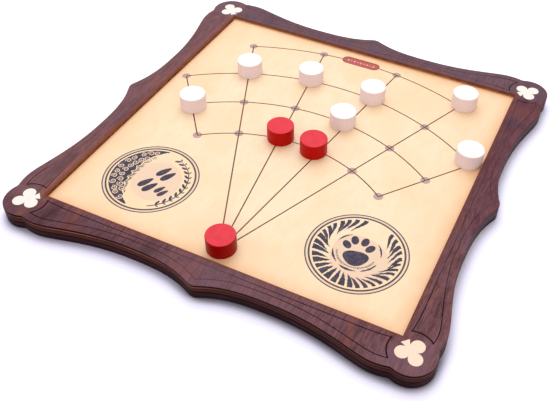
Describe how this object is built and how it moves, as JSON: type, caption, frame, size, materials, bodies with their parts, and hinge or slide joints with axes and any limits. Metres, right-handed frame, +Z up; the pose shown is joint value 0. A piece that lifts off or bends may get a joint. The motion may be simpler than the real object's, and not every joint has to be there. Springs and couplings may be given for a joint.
{
  "type": "board game board with pieces",
  "caption": "Square laminated wooden board with a scalloped frame, a recessed panel engraved with a fan of arcs and spokes, and turned round playing pieces that lift off.",
  "frame": {"origin": "middle of the underside, on the table", "axes": "+X along the front rail to the right, +Y from the front rail (the fan's apex side) to the rear rail, +Z up"},
  "size_m": [0.38, 0.38, 0.0275],
  "materials": {
    "frame_walnut": "dark walnut veneer on plywood, satin oil, laser-darkened edges",
    "panel_maple": "pale birch veneer, satin lacquer",
    "inlay_maple": "pale maple, satin",
    "red_lacquer": "red gloss paint",
    "white_lacquer": "white gloss paint"
  },
  "bodies": {
    "board": {"base_board": "frame_walnut", "spacer_frame": "frame_walnut", "play_panel": "panel_maple", "top_frame": "frame_walnut", "club_inlay_front_left": "inlay_maple", "club_inlay_front_right": "inlay_maple", "club_inlay_rear_right": "inlay_maple", "club_inlay_rear_left": "inlay_maple"},
    "tiger_1": {"tiger_token_1": "red_lacquer"},
    "tiger_2": {"tiger_token_2": "red_lacquer"},
    "tiger_3": {"tiger_token_3": "red_lacquer"},
    "lamb_1": {"lamb_token_1": "white_lacquer"},
    "lamb_2": {"lamb_token_2": "white_lacquer"},
    "lamb_3": {"lamb_token_3": "white_lacquer"},
    "lamb_4": {"lamb_token_4": "white_lacquer"},
    "lamb_5": {"lamb_token_5": "white_lacquer"},
    "lamb_6": {"lamb_token_6": "white_lacquer"},
    "lamb_7": {"lamb_token_7": "white_lacquer"}
  },
  "joints": [
    {"name": "lift_tiger_1", "type": "slide", "parent": "board", "child": "tiger_1", "axis": [0, 0, 1], "range_m": [0, 0.04]},
    {"name": "lift_tiger_2", "type": "slide", "parent": "board", "child": "tiger_2", "axis": [0, 0, 1], "range_m": [0, 0.04]},
    {"name": "lift_tiger_3", "type": "slide", "parent": "board", "child": "tiger_3", "axis": [0, 0, 1], "range_m": [0, 0.04]},
    {"name": "lift_lamb_1", "type": "slide", "parent": "board", "child": "lamb_1", "axis": [0, 0, 1], "range_m": [0, 0.04]},
    {"name": "lift_lamb_2", "type": "slide", "parent": "board", "child": "lamb_2", "axis": [0, 0, 1], "range_m": [0, 0.04]},
    {"name": "lift_lamb_3", "type": "slide", "parent": "board", "child": "lamb_3", "axis": [0, 0, 1], "range_m": [0, 0.04]},
    {"name": "lift_lamb_4", "type": "slide", "parent": "board", "child": "lamb_4", "axis": [0, 0, 1], "range_m": [0, 0.04]},
    {"name": "lift_lamb_5", "type": "slide", "parent": "board", "child": "lamb_5", "axis": [0, 0, 1], "range_m": [0, 0.04]},
    {"name": "lift_lamb_6", "type": "slide", "parent": "board", "child": "lamb_6", "axis": [0, 0, 1], "range_m": [0, 0.04]},
    {"name": "lift_lamb_7", "type": "slide", "parent": "board", "child": "lamb_7", "axis": [0, 0, 1], "range_m": [0, 0.04]}
  ]
}
